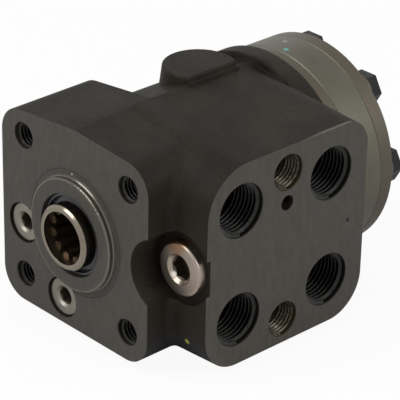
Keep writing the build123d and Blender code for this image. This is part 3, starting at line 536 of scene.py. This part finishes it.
def black_oxide():
    material, tree, shader, place = start_material("screw_oxide")
    wear = noise(tree, place, 350, 5)
    colour = blend_colour(tree, spread(tree, wear, 0.5, 0.8), rgb(22, 22, 24), rgb(46, 45, 44))
    rough = spread(tree, wear, 0.3, 0.7, 0.4, 0.58)
    normal = make_node(tree, "Bevel", {"Radius": 0.2 * MM}, samples=4).outputs[0]
    plug_in(tree, shader, Base_Color=colour, Roughness=rough, Metallic=0.6, Normal=normal)
    return material


def dress(node, material):
    """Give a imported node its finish."""
    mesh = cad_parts[node].data
    mesh.materials.clear()
    mesh.materials.append(material)


iron = casting()
socket_shade = rgb(84, 75, 65)
relief_place = (relief_axis.x / MM, relief_axis.z / MM)
relief_zones = (
    (relief_place, 0.0, 4.75, 10.9, socket_shade),
)
relief_stain_and_highlight = (
    ((relief_place[0] - 2.0, 12.0, relief_place[1] + 9.5), 6.0, rgb(150, 118, 92)),
    # painted highlight: a bright glint on the countersink, low on the left
    ((relief_place[0] - 3.2, 10.6, relief_place[1] - 3.2), 1.6, rgb(220, 214, 204)),
)
shock_zones = (
    ((-30.2, -7.7), 0.0, 3.5, 1.5, socket_shade),
    ((-7.8, -30.4), 0.0, 3.5, 1.5, socket_shade),
)
spool_zones = (((0.0, 0.0), 0.0, 10.5, -5.6, rgb(116, 102, 86)),)
relief_steel = turned_steel(
    "relief_plug_steel",
    rgb(158, 147, 136),
    rgb(138, 112, 90),
    0.33,
    centre=tuple(relief_axis),
    dark_zones=relief_zones,
    marks=relief_stain_and_highlight,
)
shock_steel = turned_steel(
    "shock_plug_steel", rgb(138, 133, 124), rgb(112, 100, 86), 0.48, dark_zones=shock_zones
)
spool_steel = turned_steel("spool_steel", rgb(134, 126, 113), rgb(100, 70, 46), 0.22, dark_zones=spool_zones)
ring_steel = turned_steel("gear_ring_steel", rgb(100, 98, 87), rgb(80, 74, 62), 0.42, marks=ring_marks)
plate_steel = turned_steel("plate_steel", rgb(92, 88, 76), rgb(104, 84, 70), 0.4)
cover_steel = turned_steel("cover_steel", rgb(93, 88, 78), rgb(104, 84, 70), 0.44)
inner_steel = turned_steel("inner_steel", rgb(150, 148, 144), rgb(120, 100, 80), 0.25)
washer_steel = turned_steel("washer_steel", rgb(96, 92, 84), rgb(78, 64, 52), 0.45)
rubber = black_rubber()
oxide = black_oxide()

finish_of = {
    "housing": iron,
    "valve_spool": spool_steel,
    "gear_ring": ring_steel,
    "distributor_plate": plate_steel,
    "end_cover": cover_steel,
    "screw_washers": washer_steel,
    "relief_plug": relief_steel,
    "shock_plugs": shock_steel,
    "cover_screws": oxide,
    "pin_screw": oxide,
}
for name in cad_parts:
    is_seal = name.endswith("seal") or name.endswith("o_ring") or name == "relief_plug_ring"
    dress(name, finish_of.get(name, rubber if is_seal else inner_steel))
print("finishes given to", len(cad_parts), "packed nodes")

# %% [markdown]
# A tapped hole shows its thread as a dark spiral. The ridge is a small trapezoid carried round and along the
# hole by a Screw modifier, and closed at both ends. It is made once for each size and then copied.

# %% Thread ridges
def thread_ridge(name, major, minor, pitch, turns):
    """A closed helical ridge round the Z axis, from z = 0 upwards, rooted just outside the major radius."""
    crest_share, steps = 0.2, 36
    root = major + 0.05 * MM
    depth = root - minor
    bpy.ops.object.select_all(action="DESELECT")
    bpy.ops.mesh.primitive_plane_add(size=1.0, location=(root - depth / 2, 0, 0), rotation=(math.pi / 2, 0, 0))
    ridge = bpy.context.object
    ridge.name = name
    ridge.scale = (depth, pitch * 0.92, 1)
    bpy.ops.object.transform_apply(location=True, rotation=True, scale=True)
    bpy.ops.object.mode_set(mode="EDIT")
    bpy.ops.mesh.delete(type="ONLY_FACE")
    bpy.ops.mesh.select_all(action="DESELECT")
    bpy.ops.object.mode_set(mode="OBJECT")
    for vertex in ridge.data.vertices:
        vertex.select = vertex.co.x < root - depth / 2
    bpy.ops.object.mode_set(mode="EDIT")
    bpy.ops.transform.resize(value=(1, 1, crest_share))
    bpy.ops.object.mode_set(mode="OBJECT")
    screw = ridge.modifiers.new("helix", "SCREW")
    screw.axis = "Z"
    screw.angle = math.tau
    screw.screw_offset = pitch
    screw.iterations = turns
    screw.steps = steps
    screw.render_steps = steps
    screw.use_smooth_shade = False
    bpy.ops.object.modifier_apply(modifier=screw.name)
    bpy.ops.object.mode_set(mode="EDIT")
    bpy.ops.mesh.select_all(action="SELECT")
    bpy.ops.mesh.remove_doubles(threshold=0.001 * MM)
    bpy.ops.mesh.select_all(action="DESELECT")
    bpy.ops.mesh.select_non_manifold()
    bpy.ops.mesh.edge_face_add()
    bpy.ops.mesh.select_all(action="SELECT")
    bpy.ops.mesh.normals_make_consistent(inside=False)
    bpy.ops.object.mode_set(mode="OBJECT")
    bpy.ops.object.shade_smooth_by_angle(angle=math.radians(25))
    return ridge


def place_copy(source, name, place, turn):
    """A copy of a piece with its own mesh, turned and moved, with its place in its mesh."""
    bpy.ops.object.select_all(action="DESELECT")
    source.select_set(True)
    bpy.context.view_layer.objects.active = source
    bpy.ops.object.duplicate(linked=False)
    copy = bpy.context.object
    copy.name = name
    copy.rotation_euler = turn
    copy.location = place
    bpy.ops.object.transform_apply(location=True, rotation=True, scale=True)
    return copy


def thread_set(name, ridge, places, turn, material):
    """Copies of a ridge, each a piece that rides on the housing."""
    copies = [place_copy(ridge, f"{name}_{index + 1}", place, turn) for index, place in enumerate(places)]
    for copy in copies:
        copy.data.materials.append(material)
        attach(copy, "housing")
    bpy.data.objects.remove(ridge)
    print(name, "has", len(copies), "threads of", len(copies[0].data.polygons), "faces")


def thread_finish(name, dark, light, roughness):
    """The skin of a cut thread, wet or stained in patches."""
    material, tree, shader, place = start_material(name)
    wet = noise(tree, place, 900, 3)
    colour = blend_colour(tree, spread(tree, wet, 0.4, 0.7), dark, light)
    plug_in(tree, shader, Base_Color=colour, Roughness=roughness, Metallic=0.5)
    return material


oily_thread = thread_finish("oily_thread", rgb(15, 15, 14), rgb(38, 37, 33), 0.24)
stained_thread = thread_finish("stained_thread", rgb(44, 37, 27), rgb(84, 75, 58), 0.38)
into_port = (0, math.pi / 2, 0)
into_column = (math.pi / 2, 0, 0)
port_thread_depth, side_thread_depth, bolt_thread_depth = 13.9 * MM, 8.6 * MM, 16.6 * MM
port_ridge = thread_ridge("port_ridge", major=10.48 * MM, minor=9.32 * MM, pitch=1.814 * MM, turns=7)
port_heights = (port_height, -port_height)
port_places = [(port_face - port_thread_depth, y, z) for y in port_stations for z in port_heights]
thread_set("port_thread", port_ridge, port_places, into_port, oily_thread)
side_ridge = thread_ridge("side_ridge", major=7.0 * MM, minor=6.5 * MM, pitch=1.5 * MM, turns=5)
side_places = [(port_face - side_thread_depth, side_port_station, z) for z in side_port_heights]
thread_set("side_thread", side_ridge, side_places, into_port, stained_thread)
bolt_ridge = thread_ridge("bolt_ridge", major=5.0 * MM, minor=4.2 * MM, pitch=1.5 * MM, turns=10)
bolt_sides = (-column_bolt_half, column_bolt_half)
bolt_places = [(x, bolt_thread_depth, z) for x in bolt_sides for z in bolt_sides]
thread_set("bolt_thread", bolt_ridge, bolt_places, into_column, oily_thread)

# %% [markdown]
# A coil spring shortens when its ball or cone lifts. The imported springs keep their length, and each is stood
# for by a copy of its own mesh, which rides on the housing.

# %% Springs
def living_spring(node):
    """A copy of a packed spring that rides on the housing in place of the packed one."""
    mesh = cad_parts[node].data.copy()
    spring = bpy.data.objects.new(f"{node}_coil", mesh)
    bpy.context.collection.objects.link(spring)
    bpy.ops.object.select_all(action="DESELECT")
    spring.select_set(True)
    bpy.context.view_layer.objects.active = spring
    bpy.ops.object.mode_set(mode="EDIT")
    bpy.ops.mesh.select_all(action="SELECT")
    bpy.ops.mesh.remove_doubles(threshold=0.001 * MM)
    bpy.ops.object.mode_set(mode="OBJECT")
    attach(spring, "housing")
    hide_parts(node)
    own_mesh(spring)


living_spring("relief_spring")
living_spring("shock_spring_left")
living_spring("shock_spring_lower")
